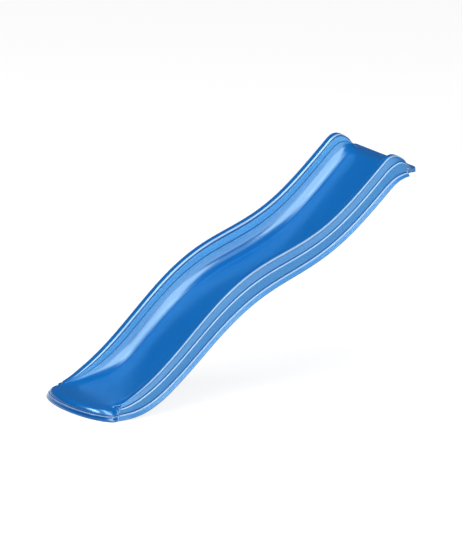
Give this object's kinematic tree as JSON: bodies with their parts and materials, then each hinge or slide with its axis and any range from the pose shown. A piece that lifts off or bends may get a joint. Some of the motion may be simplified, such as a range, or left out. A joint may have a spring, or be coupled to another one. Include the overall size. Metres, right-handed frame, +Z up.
{
  "type": "playground slide",
  "caption": "Moulded wave slide for a play tower, with rounded rails, stepped side skirts, a low rounded run-out and a hooked lip held down by capped screws.",
  "frame": {"origin": "middle of the bounding box's bottom, on the ground that the run-out rests on", "axes": "+X along the slide from the run-out towards the tower, +Z up, and Y across it, with +Y at the right hand of a child who slides down"},
  "size_m": [1.661, 0.578, 0.9924],
  "materials": {
    "blue_shell": "smooth satin polyethylene",
    "blue_cap": "smooth satin polyethylene",
    "screw_steel": "bright zinc plating",
    "washer_steel": "dull zinc plating"
  },
  "bodies": {
    "root": {"chute": "blue_shell", "lip_screw_left": "screw_steel", "lip_screw_centre": "screw_steel", "lip_screw_right": "screw_steel", "lip_washer_left": "washer_steel", "lip_washer_centre": "washer_steel", "lip_washer_right": "washer_steel", "lip_cap_left": "blue_cap", "lip_cap_centre": "blue_cap", "lip_cap_right": "blue_cap"}
  },
  "joints": []
}
